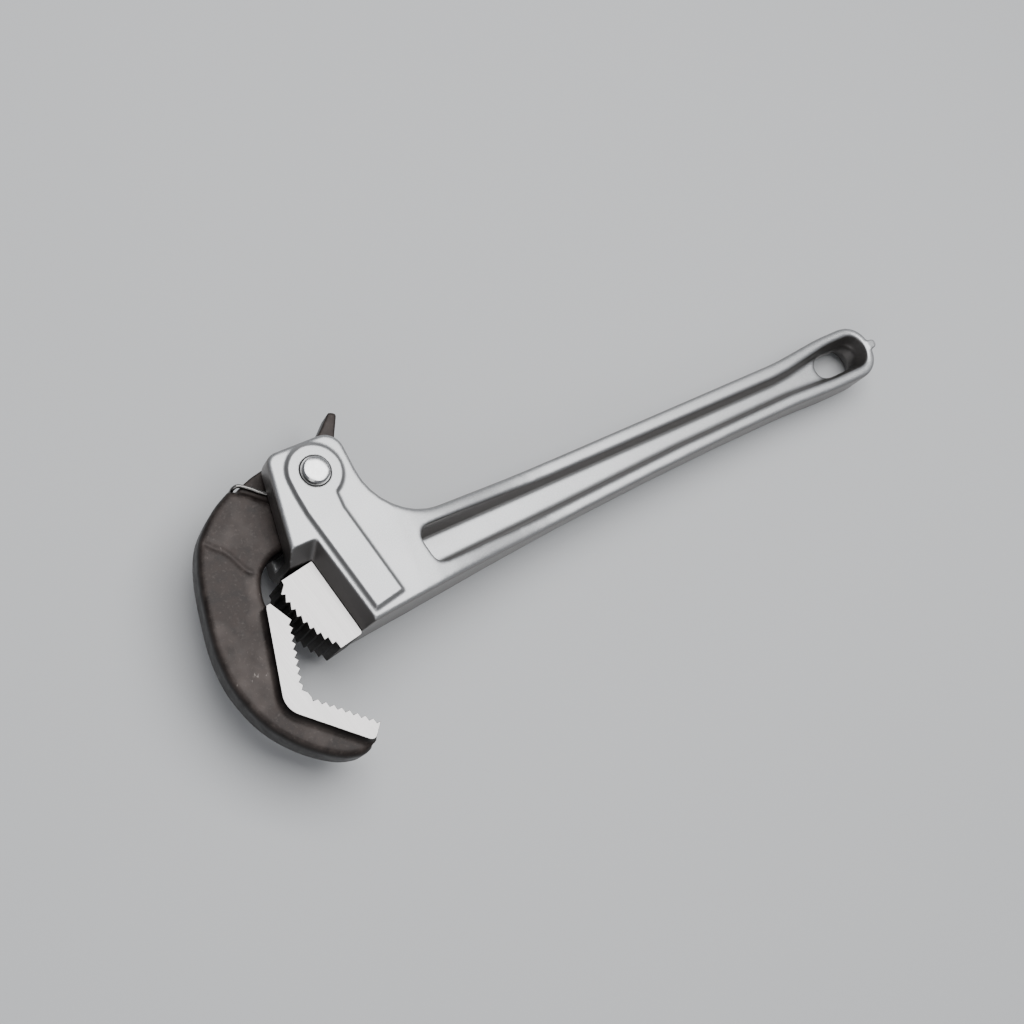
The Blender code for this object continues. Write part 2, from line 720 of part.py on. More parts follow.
def make_pivot_pin(root, mat):
    groove_low = RING_TOP - RING_THICKNESS - 0.1 * MM
    groove_high = RING_TOP + 0.1 * MM
    groove = PIN_RADIUS - RING_GROOVE_DEPTH
    upper = [
        (PIN_RADIUS, groove_low),
        (groove, groove_low),
        (groove, groove_high),
        (PIN_RADIUS, groove_high),
        (PIN_RADIUS, MID_HEIGHT - PIN_CHAMFER),
        (PIN_RADIUS - PIN_CHAMFER, MID_HEIGHT),
    ]
    profile = [(r, -z) for r, z in reversed(upper)] + upper
    assign(capped_turned_body("pivot_pin", profile, root), mat)


def make_retaining_rings(root, mat):
    half = RING_OPENING / 2
    inner = PIN_RADIUS - RING_GROOVE_DEPTH + 0.2 * MM
    outline = arc((0, 0), RING_RADIUS, 40 + half, 400 - half)
    outline += arc((0, 0), inner, 400 - half, 40 + half)
    for side, name in ((1, "front"), (-1, "rear")):
        ends = sorted((side * RING_TOP, side * (RING_TOP - RING_THICKNESS)))
        ring = finish_mesh(prism(outline, *ends), f"retaining_ring_{name}", root)
        assign(ring, mat)


def make_spring_sleeves(root, mat):
    inner = PIN_RADIUS + GAP
    outer = inner + SLEEVE_WALL
    low, high = TANG_HALF + GAP, CAVITY_HALF - GAP
    for side, name in ((1, "front"), (-1, "rear")):
        ends = sorted((side * low, side * high))
        profile = [(inner, ends[0]), (outer, ends[0]), (outer, ends[1]), (inner, ends[1])]
        assign(turned_body(f"spring_sleeve_{name}", profile, root, 28), mat)


def spring_path():
    """Half of the spring, from the tip of the front leg to the middle of the bridge."""
    leg_angle = tangent_angle(SPRING_LEG_FOOT, -1)
    arm_angle = tangent_angle(SPRING_ARM_BEND, 1)
    sweep = 360 * (COIL_TURNS - 1) + (leg_angle - arm_angle) % 360
    steps = round(sweep / 20)
    rise = LEG_HEIGHT - ARM_HEIGHT
    path = [(*SPRING_LEG_FOOT, LEG_HEIGHT)]
    for i in range(steps + 1):
        t = i / steps
        x, y = turned(COIL_RADIUS, 0, leg_angle - sweep * t)
        path.append((x, y, LEG_HEIGHT - rise * t))
    path += [(x, y, ARM_HEIGHT) for x, y in (SPRING_ARM_BEND, *SPRING_SHOULDER)]
    x, y = SPRING_BRIDGE
    path += [(x, y, ARM_HEIGHT * 0.8), (x, y, ARM_HEIGHT * 0.4)]
    return path


def make_hook_spring(root, mat):
    half = spring_path()
    points = half + [(x, y, -z) for x, y, z in reversed(half)]
    curve = bpy.data.curves.new("hook_spring", "CURVE")
    curve.dimensions = "3D"
    curve.bevel_depth = WIRE_RADIUS
    curve.bevel_resolution = 2
    curve.use_fill_caps = True
    spline = curve.splines.new("POLY")
    spline.points.add(len(points) - 1)
    for target, point in zip(spline.points, points):
        target.co = (*point, 1)
    spline.use_smooth = True
    spring = bpy.data.objects.new("hook_spring", curve)
    bpy.context.scene.collection.objects.link(spring)
    spring.parent = root
    assign(spring, mat)


def main():
    clear_scene()
    root = bpy.data.objects.new("pipe_wrench", None)
    root.location.z = MID_HEIGHT
    bpy.context.scene.collection.objects.link(root)
    cast = material("cast_aluminium", (0.74, 0.74, 0.75), 0.42, 0.9)
    forged = material("forged_steel", (0.16, 0.14, 0.13), 0.55, 0.7)
    ground = material("ground_steel", (0.8, 0.79, 0.78), 0.3, 1.0)
    bright = material("bright_steel", (0.72, 0.72, 0.72), 0.25, 1.0)
    spring = material("spring_steel", (0.25, 0.24, 0.23), 0.35, 1.0)
    make_handle_casting(root, cast)
    make_hook_jaw(root, forged)
    make_heel_jaw(root, ground)
    make_roll_pins(root, bright)
    make_pivot_pin(root, bright)
    make_retaining_rings(root, bright)
    make_spring_sleeves(root, bright)
    make_hook_spring(root, spring)


main()
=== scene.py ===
"""Looks of the self-adjusting pipe wrench: its visible pieces, their metals, and a plain studio.

Sizes follow the CAD model, in metres, in its frame: the hook swings about a line along Z through
the origin, +X runs along the handle, and -Y points to the pipe mouth.
"""

from math import acos, atan2, cos, degrees, hypot, pi, radians, sin, sqrt

import bmesh
import bpy
import numpy as np
from mathutils import Euler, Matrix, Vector


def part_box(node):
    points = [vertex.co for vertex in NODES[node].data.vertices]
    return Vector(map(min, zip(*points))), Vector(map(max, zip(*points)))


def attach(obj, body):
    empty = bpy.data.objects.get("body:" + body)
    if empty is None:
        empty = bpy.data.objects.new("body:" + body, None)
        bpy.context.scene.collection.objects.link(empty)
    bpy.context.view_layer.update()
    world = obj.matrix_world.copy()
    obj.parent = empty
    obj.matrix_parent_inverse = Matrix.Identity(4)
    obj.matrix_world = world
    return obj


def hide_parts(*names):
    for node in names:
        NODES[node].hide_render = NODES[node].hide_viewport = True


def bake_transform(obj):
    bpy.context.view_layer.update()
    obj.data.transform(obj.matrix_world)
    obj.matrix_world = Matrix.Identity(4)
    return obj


MM = 0.001

# Camera: its lens in mm, its place, and its turns about X, Y and Z in degrees
LENS = 52.7
CAMERA_PLACE = (-0.2755, -0.1554, 0.7431)
CAMERA_TURN = (19.80, -21.25, -30.0)
CAMERA_NEAR = 0.01

# Studio: each light is its name, place, target, size and power
LIGHTS = (
    ("overhead", (0.35, 0.2, 1.5), (0.1, -0.05, 0), (1.7, 1.3), 26),
    ("fill", (-0.9, -0.9, 0.9), (0.0, -0.05, 0), (0.8, 0.8), 3),
)
WORLD_COLOUR = (0.9, 0.93, 1.0, 1)
WORLD_STRENGTH = 0.2
FLOOR_HALF = 3.0
FLOOR_GAP = 0.05 * MM

# How finely round shapes are cut, in degrees or in steps
FILLET_STEP = 8
LATHE_SEGMENTS = 96
RING_STEP = 4
COIL_STEP = 6
BEND_STEPS = 8
WIRE_ROUNDNESS = 6

# Edges: the bevel's width, and the angles above which an edge stays sharp
EDGE_BEVEL = 0.2 * MM
BODY_SHARP = 35
TOOTH_SHARP = 20
WIRE_SHARP = 50

# Casting: smoothed lightly all over, then more along the handle. The handle's share fades in
# between the first two places of SOFT_RUN along X, and out between the last two.
CAST_VOXEL = 0.6 * MM
HEAD_SOFTNESS = 0.25
HEAD_PASSES = 8
HANDLE_SOFTNESS = 0.6
HANDLE_PASSES = 22
SOFT_RUN = (28 * MM, 48 * MM, 358 * MM, 369 * MM)
HANDLE_HALF = 13 * MM

# Hook jaw: the skirt is the hollow slope from the toothed land out to the hook's flat sides.
# The crease's bulge lies BULGE_PLACE crease widths below it, and both stay above CREASE_FLOOR.
JAW_HALF = 14 * MM
HOOK_HALF = 9.5 * MM
HOOK_SOFTNESS = 0.5
HOOK_PASSES = 5
SKIRT_DROP = 0.35 * MM
SKIRT_RUN = 4.6 * MM
SKIRT_LAYERS = 8
SKIRT_FADE = 12 * MM
SKIRT_INSIDE = [
    (-46 * MM, -53 * MM),
    (-44.6 * MM, -61 * MM),
    (-55 * MM, -94 * MM),
    (-53 * MM, -101.5 * MM),
    (-27 * MM, -126 * MM),
]
CREASE_DEPTH = 0.5 * MM
CREASE_WIDTH = 1.5 * MM
BULGE_HEIGHT = 0.35 * CREASE_DEPTH
BULGE_PLACE = 2.5
CREASE_FLOOR = 0.6 * HOOK_HALF
CREASE = (
    (-61.1 * MM, -9.2 * MM),
    (-58.4 * MM, -12.6 * MM),
    (-54.9 * MM, -15.5 * MM),
    (-52.3 * MM, -20.2 * MM),
    (-49.2 * MM, -28.3 * MM),
    (-47.1 * MM, -30.9 * MM),
)
HOOK_VOXEL = 0.5 * MM
UPPER_TEETH = 8
UPPER_TOOTH_DEPTH = 1.8 * MM
LOWER_TEETH = 8
LOWER_TOOTH_DEPTH = 1.7 * MM
TOOTH_VALLEY = 0.6
LAND_COVER = 0.12 * MM
FLAT_SIDE = 0.5

# Pivot pin and rings: PIN_END says how far in and how far down each corner of the end lies,
# and a ring's opening and the place of its middle are in degrees
PIN_RADIUS = 7.2 * MM
PIN_CHAMFER = 0.9 * MM
PIN_STAND_PROUD = 2.8 * MM
PIN_END = (
    (0, PIN_CHAMFER),
    (0.25 * MM, PIN_CHAMFER * 0.7),
    (PIN_CHAMFER * 0.8, 0.12 * MM),
    (PIN_CHAMFER, 0),
    (PIN_RADIUS * 0.5, 0),
)
RING_OVERHANG = 0.7 * MM
RING_RADIUS = PIN_RADIUS + RING_OVERHANG
RING_THICKNESS = 1.2 * MM
RING_GROOVE_DEPTH = 0.9 * MM
RING_SIDE_PLAY = 0.1 * MM
RING_INSIDE_PLAY = 0.2 * MM
RING_OPENING = 26
RING_OPENING_PLACE = 40

# Spring
WIRE_RADIUS = 1.0 * MM
COIL_RADIUS = 10.3 * MM
COIL_TURNS = 2
ARM_HEIGHT = 8.5 * MM
LEG_HEIGHT = 13.1 * MM
SPRING_LEG_FOOT = (5 * MM, -68 * MM)
SPRING_ARM_BEND = (-22.4 * MM, 3.6 * MM)
SPRING_SHOULDER = ((-27.2 * MM, 7.9 * MM), (-31.4 * MM, 11.2 * MM), (-33.8 * MM, 12.2 * MM))
SPRING_BRIDGE = (-35.6 * MM, 12.0 * MM)
BRIDGE_SHARES = (0.8, 0.4, 0)

# CAD pieces that are seen as they are, with only a material
PLAIN_NODES = (
    "spring_sleeve_front",
    "spring_sleeve_rear",
    "heel_jaw_pin_upper",
    "heel_jaw_pin_lower",
)

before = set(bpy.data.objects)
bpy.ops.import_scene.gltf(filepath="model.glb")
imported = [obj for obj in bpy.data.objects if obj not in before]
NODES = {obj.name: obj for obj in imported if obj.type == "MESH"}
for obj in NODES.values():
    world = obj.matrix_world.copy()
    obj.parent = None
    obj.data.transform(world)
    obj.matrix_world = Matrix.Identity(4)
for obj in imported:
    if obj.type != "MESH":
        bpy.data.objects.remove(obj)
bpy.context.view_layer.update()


pin_low, pin_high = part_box("pivot_pin")
MID = ((pin_low + pin_high) / 2).z
PIN_TOP = pin_high.z - MID


def turned(x, y, angle):
    a = radians(angle)
    return (x * cos(a) - y * sin(a), x * sin(a) + y * cos(a))


def arc(centre, radius, start, end, step):
    """Points on an arc, its ends included, from one angle to another in degrees."""
    count = max(1, round(abs(end - start) / step))
    points = []
    for i in range(count + 1):
        x, y = turned(radius, 0, start + (end - start) * i / count)
        points.append((centre[0] + x, centre[1] + y))
    return points


def filleted(corners):
    """A closed outline from corners (x, y, fillet radius), with each fillet as a tangent arc."""
    outline = []
    for i, (x, y, radius) in enumerate(corners):
        if radius == 0:
            outline.append((x, y))
            continue
        corner = Vector((x, y))
        before = (Vector(corners[i - 1][:2]) - corner).normalized()
        after = (Vector(corners[(i + 1) % len(corners)][:2]) - corner).normalized()
        half = before.angle(after) / 2
        centre = corner + (before + after).normalized() * radius / sin(half)
        run = radius / (sin(half) / cos(half))
        first = corner + before * run - centre
        last = corner + after * run - centre
        start = degrees(atan2(first.y, first.x))
        sweep = (degrees(atan2(last.y, last.x)) - start + 180) % 360 - 180
        outline += arc(centre, radius, start, start + sweep, FILLET_STEP)
    return outline


def teeth(start, end, count, depth):
    """Saw teeth between two points: each tip, then a valley part of the way to the next one."""
    start = Vector(start)
    run = (Vector(end) - start) / count
    inward = Vector((run.y, -run.x)).normalized() * depth
    points = []
    for i in range(count):
        points.append(tuple(start + run * i))
        points.append(tuple(start + run * (i + TOOTH_VALLEY) + inward))
    points.append(tuple(start + run * count))
    return points


def new_object(name, mesh):
    obj = bpy.data.objects.new(name, mesh)
    bpy.context.scene.collection.objects.link(obj)
    return obj


def from_bmesh(bm, name, sharp=BODY_SHARP):
    bmesh.ops.recalc_face_normals(bm, faces=bm.faces)
    mesh = bpy.data.meshes.new(name)
    bm.to_mesh(mesh)
    bm.free()
    mesh.shade_smooth()
    mesh.set_sharp_from_angle(angle=radians(sharp))
    return new_object(name, mesh)


def loft_into(bm, layers):
    """Adds a closed shell through outlines with equal numbers of points, given as (z, outline)."""
    loops = [[bm.verts.new((x, y, z)) for x, y in outline] for z, outline in layers]
    count = len(loops[0])
    for low, high in zip(loops, loops[1:]):
        for i in range(count):
            j = (i + 1) % count
            bm.faces.new((low[i], low[j], high[j], high[i]))
    bm.faces.new(list(reversed(loops[0])))
    bm.faces.new(loops[-1])


def lathe(name, profile):
    """A body turned about Z from a (radius, z) profile that runs up, flat at both ends."""
    bm = bmesh.new()
    rings = []
    for r, z in profile:
        ring = []
        for i in range(LATHE_SEGMENTS):
            a = 2 * pi * i / LATHE_SEGMENTS
            ring.append(bm.verts.new((r * cos(a), r * sin(a), z)))
        rings.append(ring)
    for low, high in zip(rings, rings[1:]):
        for i in range(LATHE_SEGMENTS):
            j = (i + 1) % LATHE_SEGMENTS
            bm.faces.new((low[i], low[j], high[j], high[i]))
    bm.faces.new(list(reversed(rings[0])))
    bm.faces.new(rings[-1])
    return from_bmesh(bm, name)


def evaluated_mesh(obj):
    graph = bpy.context.evaluated_depsgraph_get()
    return bpy.data.meshes.new_from_object(obj.evaluated_get(graph))


def remeshed(obj, voxel):
    modifier = obj.modifiers.new("remesh", "REMESH")
    modifier.mode = "VOXEL"
    modifier.voxel_size = voxel
    mesh = evaluated_mesh(obj)
    obj.modifiers.clear()
    old = obj.data
    obj.data = mesh
    bpy.data.meshes.remove(old)
    mesh.shade_smooth()


def coordinates(mesh):
    co = np.empty(len(mesh.vertices) * 3)
    mesh.vertices.foreach_get("co", co)
    return co.reshape(-1, 3)


def set_coordinates(mesh, co):
    mesh.vertices.foreach_set("co", co.ravel())
    mesh.update()


def relax(obj, passes, weight):
    """Smooths a dense mesh: each pass moves a vertex towards the middle of its neighbours.

    The weight is a function that gives each vertex its share of that move.
    """
    mesh = obj.data
    co = coordinates(mesh)
    ends = np.empty(len(mesh.edges) * 2, np.int64)
    mesh.edges.foreach_get("vertices", ends)
    a, b = ends.reshape(-1, 2).T
    count = len(co)
    degree = np.maximum(np.bincount(a, minlength=count) + np.bincount(b, minlength=count), 1)
    share = weight(co)[:, None]
    for _ in range(passes):
        total = np.empty_like(co)
        for k in range(3):
            total[:, k] = np.bincount(a, co[b, k], count) + np.bincount(b, co[a, k], count)
        co += share * (total / degree[:, None] - co)
    set_coordinates(mesh, co)


def bevelled(obj, angle=30):
    bevel = obj.modifiers.new("bevel", "BEVEL")
    bevel.width = EDGE_BEVEL
    bevel.segments = 2
    bevel.limit_method = "ANGLE"
    bevel.angle_limit = radians(angle)


# Materials


class Surface:
    """A material's node tree with short calls for the nodes it is built from."""

    def __init__(self, name, roughness, metallic, specular=0.5):
        self.material = bpy.data.materials.new(name)
        self.material.use_nodes = True
        self.tree = self.material.node_tree
        self.shader = self.tree.nodes["Principled BSDF"]
        self.shader.inputs["Roughness"].default_value = roughness
        self.shader.inputs["Metallic"].default_value = metallic
        self.shader.inputs["Specular IOR Level"].default_value = specular
        self.place = self.tree.nodes.new("ShaderNodeTexCoord").outputs["Object"]

    def link(self, output, target):
        self.tree.links.new(output, target)

    def stretched(self, scale, angle):
        """The place scaled along its own directions, turned about Z first."""
        mapping = self.tree.nodes.new("ShaderNodeMapping")
        mapping.vector_type = "POINT"
        turn = self.tree.nodes.new("ShaderNodeVectorRotate")
        turn.rotation_type = "Z_AXIS"
        turn.inputs["Angle"].default_value = radians(angle)
        self.link(self.place, turn.inputs["Vector"])
        self.link(turn.outputs["Vector"], mapping.inputs["Vector"])
        mapping.inputs["Scale"].default_value = scale
        return mapping.outputs["Vector"]

    def noise(self, scale, detail, rough=0.5, place=None):
        node = self.tree.nodes.new("ShaderNodeTexNoise")
        node.inputs["Scale"].default_value = scale
        node.inputs["Detail"].default_value = detail
        node.inputs["Roughness"].default_value = rough
        self.link(place or self.place, node.inputs["Vector"])
        return node.outputs["Fac"]

    def slope(self, low, high):
        """0 on an upright face and 1 on a face that lies flat, by how far the surface tilts: the
        mask for painted shade.
        """
        turn = self.tree.nodes.new("ShaderNodeVectorTransform")
        turn.vector_type = "NORMAL"
        turn.convert_from, turn.convert_to = "WORLD", "OBJECT"
        geometry = self.tree.nodes.new("ShaderNodeNewGeometry")
        self.link(geometry.outputs["Normal"], turn.inputs["Vector"])
        parts = self.tree.nodes.new("ShaderNodeSeparateXYZ")
        self.link(turn.outputs["Vector"], parts.inputs["Vector"])
        return self.ranged(self.math("ABSOLUTE", parts.outputs["Z"], 0), low, high, 0, 1)

    def ranged(self, value, low, high, out_low, out_high):
        node = self.tree.nodes.new("ShaderNodeMapRange")
        node.inputs["From Min"].default_value = low
        node.inputs["From Max"].default_value = high
        node.inputs["To Min"].default_value = out_low
        node.inputs["To Max"].default_value = out_high
        self.link(value, node.inputs["Value"])
        return node.outputs["Result"]

    def math(self, operation, a, b):
        node = self.tree.nodes.new("ShaderNodeMath")
        node.operation = operation
        for socket, value in zip(node.inputs, (a, b)):
            if isinstance(value, (int, float)):
                socket.default_value = value
            else:
                self.link(value, socket)
        return node.outputs["Value"]

    def mixed(self, factor, first, second):
        node = self.tree.nodes.new("ShaderNodeMix")
        node.data_type = "RGBA"
        self.link(factor, node.inputs["Factor"])
        for socket, value in ((node.inputs["A"], first), (node.inputs["B"], second)):
            if isinstance(value, tuple):
                socket.default_value = (*value, 1)
            else:
                self.link(value, socket)
        return node.outputs["Result"]

    def colour(self, output):
        self.link(output, self.shader.inputs["Base Color"])

    def roughness(self, output):
        self.link(output, self.shader.inputs["Roughness"])

    def bump(self, height, depth, strength, under=None):
        node = self.tree.nodes.new("ShaderNodeBump")
        node.inputs["Distance"].default_value = depth
        node.inputs["Strength"].default_value = strength
        self.link(height, node.inputs["Height"])
        if under is not None:
            self.link(under, node.inputs["Normal"])
        self.link(node.outputs["Normal"], self.shader.inputs["Normal"])
        return node.outputs["Normal"]


def cast_aluminium():
    # The first colour is painted shade: the dark tone that upright and steep faces take in place of
    # the shade they lie in.
    wall_shade, low, high, glint = (
        (0.20, 0.19, 0.185),
        (0.55, 0.555, 0.56),
        (0.61, 0.615, 0.62),
        (0.74, 0.745, 0.75),
    )
    s = Surface("cast_aluminium_satin", 0.42, 0.9)
    broad = s.noise(38, 2)
    speckle = s.noise(1700, 3, 0.6)
    tone = s.mixed(s.ranged(broad, 0.3, 0.7, 0, 1), low, high)
    tone = s.mixed(s.ranged(speckle, 0.42, 0.7, 0, 1), tone, glint)
    # Painted shade: the colour falls to the dark shade colour as the surface tilts towards upright.
    s.colour(s.mixed(s.slope(0.45, 0.93), wall_shade, tone))
    s.roughness(s.ranged(speckle, 0.3, 0.7, 0.36, 0.46))
    first = s.bump(speckle, 0.05 * MM, 0.7)
    s.bump(s.noise(170, 2), 0.08 * MM, 0.4, first)
    return s.material


def forged_steel():
    # The first colour is painted shade: the near-black tone that upright faces and the hook's
    # rounded edges take in place of their shade.
    wall_shade = (0.010, 0.008, 0.0075)
    black, brown = (0.019, 0.014, 0.0125), (0.052, 0.040, 0.036)
    patch, grey, bare = (0.092, 0.074, 0.067), (0.13, 0.11, 0.10), (0.42, 0.38, 0.35)
    s = Surface("forged_steel_black", 0.5, 0.3, 0.4)
    patches = s.noise(42, 3, 0.55)
    mottle = s.noise(150, 5, 0.65)
    fine = s.noise(620, 4, 0.6)
    tone = s.mixed(s.ranged(mottle, 0.35, 0.65, 0, 1), black, brown)
    tone = s.mixed(s.ranged(patches, 0.48, 0.68, 0, 0.75), tone, patch)
    tone = s.mixed(s.ranged(fine, 0.56, 0.8, 0, 0.5), tone, grey)
    scuff = s.noise(460, 2, 0.5, s.stretched((1, 0.5, 1), 20))
    scuffed = s.ranged(scuff, 0.70, 0.78, 0, 0.6)
    worn = s.math("MULTIPLY", scuffed, s.ranged(patches, 0.5, 0.6, 0, 1))
    tone = s.mixed(worn, tone, bare)
    # Painted shade: the colour falls to the near-black shade colour as the surface tilts towards
    # upright.
    s.colour(s.mixed(s.slope(0.3, 0.92), wall_shade, tone))
    s.roughness(s.ranged(mottle, 0.3, 0.7, 0.40, 0.56))
    first = s.bump(s.noise(260, 3, 0.6), 0.16 * MM, 0.5)
    s.bump(fine, 0.05 * MM, 0.5, first)
    return s.material


def ground_steel(name, angle, tint):
    """Ground steel with its brush lines at an angle in degrees."""
    s = Surface(name, 0.3, 0.9)
    lines = s.noise(1, 2, 0.5, s.stretched((60, 2600, 60), angle))
    broad = s.noise(1, 2, 0.5, s.stretched((25, 420, 25), angle))
    dull = tuple(c * 0.8 for c in tint)
    tone = s.mixed(s.ranged(lines, 0.35, 0.65, 0, 1), dull, tint)
    s.colour(s.mixed(s.ranged(broad, 0.4, 0.7, 0, 0.5), tone, dull))
    s.roughness(s.ranged(lines, 0.3, 0.7, 0.3, 0.42))
    s.bump(lines, 0.03 * MM, 0.6)
    return s.material


def tooth_steel():
    dark, light = (0.022, 0.020, 0.019), (0.05, 0.046, 0.043)
    s = Surface("tooth_flank_steel", 0.6, 0.3, 0.3)
    grain = s.noise(700, 3)
    s.colour(s.mixed(s.ranged(grain, 0.35, 0.7, 0, 1), dark, light))
    s.bump(grain, 0.04 * MM, 0.4)
    return s.material


def bright_steel(name, roughness, tint, side):
    """Bright steel with painted shade on its turned sides: these take a darker share of its tint.
    """
    s = Surface(name, roughness, 1.0)
    marks = s.noise(700, 3)
    dull = tuple(c * 0.9 for c in tint)
    tone = s.mixed(s.ranged(marks, 0.4, 0.7, 0, 1), tint, dull)
    # Painted shade: tilted faces fall to the share of the tint given by side.
    s.colour(s.mixed(s.slope(0.4, 0.8), tuple(c * side for c in tint), tone))
    s.roughness(s.ranged(marks, 0.3, 0.7, roughness * 0.85, roughness * 1.25))
    s.bump(marks, 0.01 * MM, 0.3)
    return s.material


def paint(obj, *materials):
    obj.data.materials.clear()
    for material in materials:
        obj.data.materials.append(material)


def paint_toothed(obj, ground, flank):
    """Ground metal on the flat sides, and the darker flank metal on the teeth and walls."""
    paint(obj, ground, flank)
    for face in obj.data.polygons:
        face.material_index = 0 if abs(face.normal.z) > FLAT_SIDE else 1


# Pieces


def make_casting(material):
    obj = new_object("casting_body", NODES["handle_casting"].data.copy())
    remeshed(obj, CAST_VOXEL)
    fade = (0, HANDLE_SOFTNESS, HANDLE_SOFTNESS, 0)
    relax(obj, HEAD_PASSES, lambda co: np.full(len(co), HEAD_SOFTNESS))
    relax(obj, HANDLE_PASSES, lambda co: np.interp(co[:, 0], SOFT_RUN, fade))
    paint(obj, material)
    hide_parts("handle_casting")
    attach(obj, "handle")


def land_back():
    """The land's smooth outer side, from its foot round the bend to its tip."""
    return filleted(
        [
            (-23.8 * MM, -125.0 * MM, 0),
            (-30.9 * MM, -132.5 * MM, 3 * MM),
            (-64.4 * MM, -99.5 * MM, 12 * MM),
            (-50.2 * MM, -51.5 * MM, 0),
        ]
    )


def land_outline():
    """The raised toothed land of the hook, an angular V, anticlockwise."""
    tip = [(-50.2 * MM, -51.5 * MM), (-49.4 * MM, -49.9 * MM), (-47.2 * MM, -49.7 * MM)]
    upper = ((-41.2 * MM, -61.4 * MM), (-50.8 * MM, -92.6 * MM))
    lower = ((-47.3 * MM, -101.9 * MM), (-23.8 * MM, -125.0 * MM))
    corner = [
        (-52.4 * MM, -94.6 * MM),
        (-50.4 * MM, -96.7 * MM),
        (-49.7 * MM, -99.6 * MM),
        (-50.0 * MM, -101.7 * MM),
    ]
    toothed = teeth(*upper, UPPER_TEETH, UPPER_TOOTH_DEPTH) + corner
    toothed += teeth(*lower, LOWER_TEETH, LOWER_TOOTH_DEPTH)
    return (tip + toothed + land_back()[1:-1])[::-1]


def skirt_path(path, spread):
    """The path moved outwards by the spread, which fades away towards the path's start."""
    start = Vector(path[0])
    moved = []
    for i, point in enumerate(path):
        before = Vector(path[max(i - 1, 0)])
        after = Vector(path[min(i + 1, len(path) - 1)])
        along = (after - before).normalized()
        fade = min(1, (Vector(point) - start).length / SKIRT_FADE) ** 2
        moved.append(tuple(Vector(point) - Vector((along.y, -along.x)) * spread * fade))
    return moved


def carve_crease(obj):
    """Presses the forging's crease into the front of the hook, with a low bulge below it."""
    co = coordinates(obj.data)
    front = co[:, 2] > MID + CREASE_FLOOR
    height = np.zeros(len(co))
    nearest = np.full(len(co), 1.0)
    for start, end in zip(CREASE, CREASE[1:]):
        start, end = np.array(start), np.array(end)
        run = end - start
        t = np.clip((co[:, :2] - start) @ run / (run @ run), 0, 1)
        away = co[:, :2] - start - t[:, None] * run
        distance = np.hypot(*away.T)
        side = np.sign(away @ np.array((run[1], -run[0])))
        closer = distance < nearest
        nearest = np.where(closer, distance, nearest)
        widths = distance / CREASE_WIDTH
        dent = -CREASE_DEPTH * np.exp(-(widths**2))
        bulge = BULGE_HEIGHT * np.exp(-((widths - BULGE_PLACE) ** 2) / 2) * (side > 0)
        height = np.where(closer, dent + bulge, height)
    co[front, 2] += height[front]
    set_coordinates(obj.data, co)


def make_hook(dark, ground, flank):
    body = new_object("hook_body", NODES["hook_jaw"].data.copy())
    bm = bmesh.new()
    bm.from_mesh(body.data)
    path = land_back()
    for side in (1, -1):
        layers = []
        for i in range(SKIRT_LAYERS + 1):
            u = i / SKIRT_LAYERS
            z = JAW_HALF - SKIRT_DROP - (JAW_HALF - HOOK_HALF) * u
            spread = SKIRT_RUN * (1 - sqrt(1 - u * u))
            layers.append((MID + side * z, skirt_path(path, spread) + SKIRT_INSIDE))
        loft_into(bm, layers)
    bm.to_mesh(body.data)
    bm.free()
    remeshed(body, HOOK_VOXEL)
    relax(body, HOOK_PASSES, lambda co: np.full(len(co), HOOK_SOFTNESS))
    carve_crease(body)
    paint(body, dark)
    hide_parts("hook_jaw")
    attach(body, "hook")

    bm = bmesh.new()
    outline = land_outline()
    half = JAW_HALF + LAND_COVER
    loft_into(bm, [(MID - half, outline), (MID + half, outline)])
    land = from_bmesh(bm, "hook_teeth", TOOTH_SHARP)
    bevelled(land)
    paint_toothed(land, ground, flank)
    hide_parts("hook_jaw")
    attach(land, "hook")


def make_heel(ground, flank):
    obj = new_object("heel_jaw_block", NODES["heel_jaw"].data.copy())
    bm = bmesh.new()
    bm.from_mesh(obj.data)
    bmesh.ops.remove_doubles(bm, verts=bm.verts, dist=1e-6)
    bmesh.ops.dissolve_limit(bm, angle_limit=radians(1), verts=bm.verts, edges=bm.edges)
    bm.to_mesh(obj.data)
    bm.free()
    obj.data.shade_smooth()
    obj.data.set_sharp_from_angle(angle=radians(TOOTH_SHARP))
    bevelled(obj)
    paint_toothed(obj, ground, flank)
    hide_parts("heel_jaw")
    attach(obj, "handle")


def make_pin(material):
    groove = PIN_RADIUS - RING_GROOVE_DEPTH
    ring_top = PIN_TOP - PIN_STAND_PROUD
    low = ring_top - RING_THICKNESS - RING_SIDE_PLAY
    high = ring_top + RING_SIDE_PLAY
    upper = [(PIN_RADIUS, low), (groove, low), (groove, high), (PIN_RADIUS, high)]
    upper += [(PIN_RADIUS - inset, PIN_TOP - drop) for inset, drop in PIN_END]
    profile = [(r, MID - z) for r, z in reversed(upper)] + [(r, MID + z) for r, z in upper]
    pin = lathe("pivot_pin_turned", profile)
    paint(pin, material)
    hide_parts("pivot_pin")
    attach(pin, "handle")


def make_rings(material):
    inner_radius = PIN_RADIUS - RING_GROOVE_DEPTH + RING_INSIDE_PLAY
    first = RING_OPENING_PLACE + RING_OPENING / 2
    last = RING_OPENING_PLACE + 360 - RING_OPENING / 2
    outline = arc((0, 0), RING_RADIUS, first, last, RING_STEP)
    outline += arc((0, 0), inner_radius, last, first, RING_STEP)
    top = PIN_TOP - PIN_STAND_PROUD
    for side, name in ((1, "front"), (-1, "rear")):
        low, high = sorted((MID + side * top, MID + side * (top - RING_THICKNESS)))
        bm = bmesh.new()
        loft_into(bm, [(low, outline), (high, outline)])
        ring = from_bmesh(bm, f"retaining_ring_{name}_turned")
        bevelled(ring, 50)
        paint(ring, material)
        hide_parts(f"retaining_ring_{name}")
        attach(ring, "handle")


def tangent_angle(point, side):
    """Where a straight wire through a point meets the coil: the angle of that place, in degrees."""
    distance = hypot(*point)
    return degrees(atan2(point[1], point[0])) + side * degrees(acos(COIL_RADIUS / distance))


